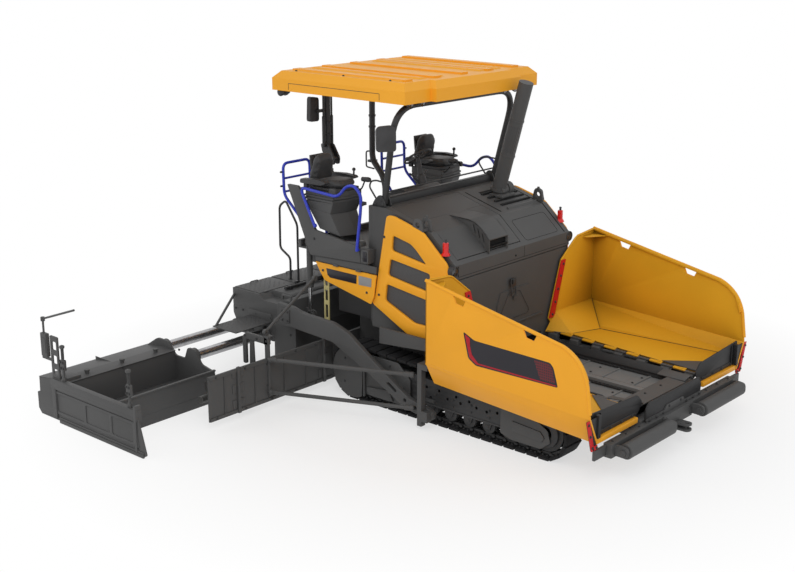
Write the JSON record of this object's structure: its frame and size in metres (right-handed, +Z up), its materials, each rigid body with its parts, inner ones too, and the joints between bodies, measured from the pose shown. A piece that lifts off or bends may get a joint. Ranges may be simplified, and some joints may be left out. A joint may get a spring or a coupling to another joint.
{
  "type": "tracked asphalt paver",
  "caption": "Tracked asphalt paver with a folding-wing hopper in front, roofed operator's deck, spreading augers and a wide extending screed behind.",
  "frame": {"origin": "on the ground under the middle of the machine's length and width", "axes": "+X forward to the hopper, +Y to the machine's left, +Z up"},
  "size_m": [6.08, 7.92, 3.7211],
  "materials": {
    "dark_paint": "satin dark grey paint",
    "black_paint": "satin black paint",
    "yellow_paint": "gloss golden yellow paint",
    "blue_paint": "gloss blue paint",
    "engine_paint": "grey engine paint",
    "bare_steel": "worn bare steel",
    "cast_steel": "dark cast steel",
    "chrome_rod": "polished rod",
    "track_rubber": "black rubber-padded track",
    "black_rubber": "black rubber sheet",
    "red_rubber": "red wiper rubber",
    "pale_paint": "pale yellow paint",
    "red_lens": "red lens plastic",
    "black_vinyl": "black vinyl",
    "black_plastic": "textured black plastic"
  },
  "bodies": {
    "chassis": {"auger_support": "dark_paint", "beacons": "red_lens", "centre_flap": "black_rubber", "console_left": "dark_paint", "console_right": "dark_paint", "control_console": "black_plastic", "conveyor": "bare_steel", "conveyor_cover": "dark_paint", "deck": "dark_paint", "engine_block": "engine_paint", "exhaust_pillar": "dark_paint", "fenders": "dark_paint", "front_wall": "dark_paint", "hand_rails": "blue_paint", "hood": "dark_paint", "hopper_floor": "dark_paint", "lamps": "black_plastic", "level_strips": "pale_paint", "main_frame": "dark_paint", "mirrors": "black_plastic", "operator_chair_left": "black_vinyl", "operator_chair_right": "black_vinyl", "push_beam": "dark_paint", "rear_body": "dark_paint", "roof": "yellow_paint", "roof_hoop": "black_paint", "roof_posts": "black_paint", "side_panel_left": "yellow_paint", "side_panel_right": "yellow_paint", "tail_panel_left": "yellow_paint", "tail_panel_right": "yellow_paint", "tie_rods": "dark_paint", "track_frame_left": "dark_paint", "track_frame_right": "dark_paint", "track_left": "track_rubber", "track_right": "track_rubber", "tunnel_wall_left": "dark_paint", "tunnel_wall_right": "dark_paint"},
    "hood_lid": {"hood_lid": "dark_paint"},
    "wing_left": {"wing_left": "yellow_paint", "wing_strip_left": "red_rubber", "wing_flap_left": "black_rubber"},
    "wing_right": {"wing_right": "yellow_paint", "wing_strip_right": "red_rubber", "wing_flap_right": "black_rubber"},
    "push_roller_left": {"push_roller_left": "bare_steel"},
    "push_roller_right": {"push_roller_right": "bare_steel"},
    "auger_left": {"auger_left": "cast_steel"},
    "auger_right": {"auger_right": "cast_steel"},
    "screed": {"tow_arms": "dark_paint", "main_screed": "dark_paint", "access_rails": "black_paint"},
    "extension_left": {"extension_left": "dark_paint", "end_gate_left": "dark_paint"},
    "extension_right": {"extension_right": "dark_paint", "end_gate_right": "dark_paint"},
    "lift_barrel_left": {"lift_barrel_left": "black_paint"},
    "lift_barrel_right": {"lift_barrel_right": "black_paint"},
    "lift_rod_left": {"lift_rod_left": "chrome_rod"},
    "lift_rod_right": {"lift_rod_right": "chrome_rod"}
  },
  "joints": [
    {"name": "hood_lid_hinge", "type": "hinge", "parent": "chassis", "child": "hood_lid", "pos_m": [-0.286, -0.415, 2.292], "axis": [0, -1, 0], "range_deg": [0, 50]},
    {"name": "wing_left_hinge", "type": "hinge", "parent": "chassis", "child": "wing_left", "pos_m": [0.722, 0.68, 0.66], "axis": [0.9988, 0, -0.0479], "range_deg": [0, 50]},
    {"name": "wing_right_hinge", "type": "hinge", "parent": "chassis", "child": "wing_right", "pos_m": [0.722, -0.68, 0.66], "axis": [-0.9988, 0, 0.0479], "range_deg": [0, 50]},
    {"name": "push_roller_left_spin", "type": "hinge", "parent": "chassis", "child": "push_roller_left", "pos_m": [2.96, 0.76, 0.34], "axis": [0, 1, 0], "continuous": true},
    {"name": "push_roller_right_spin", "type": "hinge", "parent": "chassis", "child": "push_roller_right", "pos_m": [2.96, -0.76, 0.34], "axis": [0, 1, 0], "continuous": true},
    {"name": "auger_left_spin", "type": "hinge", "parent": "chassis", "child": "auger_left", "pos_m": [-1.4, 1.5, 0.275], "axis": [0, 1, 0], "continuous": true},
    {"name": "auger_right_spin", "type": "hinge", "parent": "chassis", "child": "auger_right", "pos_m": [-1.4, -1.5, 0.275], "axis": [0, 1, 0], "continuous": true},
    {"name": "screed_lift", "type": "hinge", "parent": "chassis", "child": "screed", "pos_m": [0.6, 0, 0.16], "axis": [0, 1, 0], "range_deg": [0, 8]},
    {"name": "extension_left_slide", "type": "slide", "parent": "screed", "child": "extension_left", "axis": [0, 1, 0], "range_m": [-0.88, 0.1]},
    {"name": "extension_right_slide", "type": "slide", "parent": "screed", "child": "extension_right", "axis": [0, -1, 0], "range_m": [-0.88, 0.1]},
    {"name": "lift_barrel_left_tilt", "type": "hinge", "parent": "chassis", "child": "lift_barrel_left", "pos_m": [-1.49, 1.11, 1.715], "axis": [0, -1, 0], "range_deg": [0, 9.47]},
    {"name": "lift_rod_left_slide", "type": "slide", "parent": "lift_barrel_left", "child": "lift_rod_left", "axis": [0, 0, -1], "range_m": [-0.284, 0]},
    {"name": "lift_barrel_right_tilt", "type": "hinge", "parent": "chassis", "child": "lift_barrel_right", "pos_m": [-1.49, -1.11, 1.715], "axis": [0, -1, 0], "range_deg": [0, 9.47]},
    {"name": "lift_rod_right_slide", "type": "slide", "parent": "lift_barrel_right", "child": "lift_rod_right", "axis": [0, 0, -1], "range_m": [-0.284, 0]}
  ],
  "couplings": [
    {"joint": "lift_barrel_left_tilt", "follows": "screed_lift", "ratio": 1.1463},
    {"joint": "lift_rod_left_slide", "follows": "screed_lift", "m_per_rad": -1.9982},
    {"joint": "lift_barrel_right_tilt", "follows": "screed_lift", "ratio": 1.1463},
    {"joint": "lift_rod_right_slide", "follows": "screed_lift", "m_per_rad": -1.9982}
  ]
}
